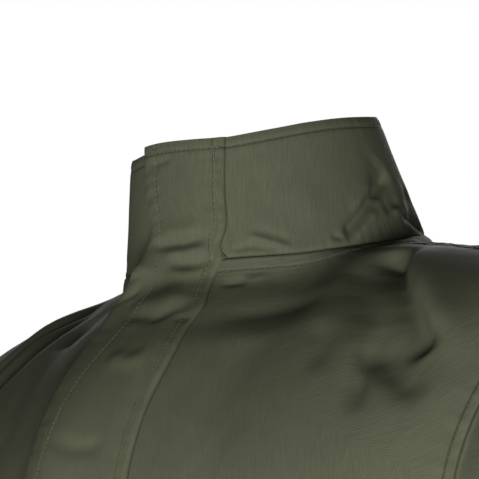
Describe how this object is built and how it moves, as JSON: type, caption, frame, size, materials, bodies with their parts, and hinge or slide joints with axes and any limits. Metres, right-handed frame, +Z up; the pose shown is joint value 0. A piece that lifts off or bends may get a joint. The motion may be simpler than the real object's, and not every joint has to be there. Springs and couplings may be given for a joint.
{
  "type": "work jacket",
  "caption": "Plain work jacket with a stand-up collar and a flap over the front closing, long sleeves, filled out as if worn.",
  "frame": {"origin": "middle of the neck opening, level with the two neck points of the shoulders, where a wearer carries the jacket", "axes": "+X to the wearer's left, -Y to the wearer's front, +Z up"},
  "size_m": [0.8166, 0.3131, 0.7828],
  "materials": {
    "body_cloth": "matte fine twill",
    "collar_cloth": "matte fine twill, two plies",
    "flap_cloth": "matte fine twill, two plies",
    "closure_tape": "woven touch-fastening tape"
  },
  "bodies": {
    "root": {"front_left": "body_cloth", "front_right": "body_cloth", "back": "body_cloth", "sleeve_left": "body_cloth", "sleeve_right": "body_cloth", "collar": "collar_cloth", "storm_flap": "flap_cloth", "closure_loop_front": "closure_tape", "closure_hook_front": "closure_tape", "closure_loop_collar": "closure_tape", "closure_hook_collar": "closure_tape"}
  },
  "joints": []
}
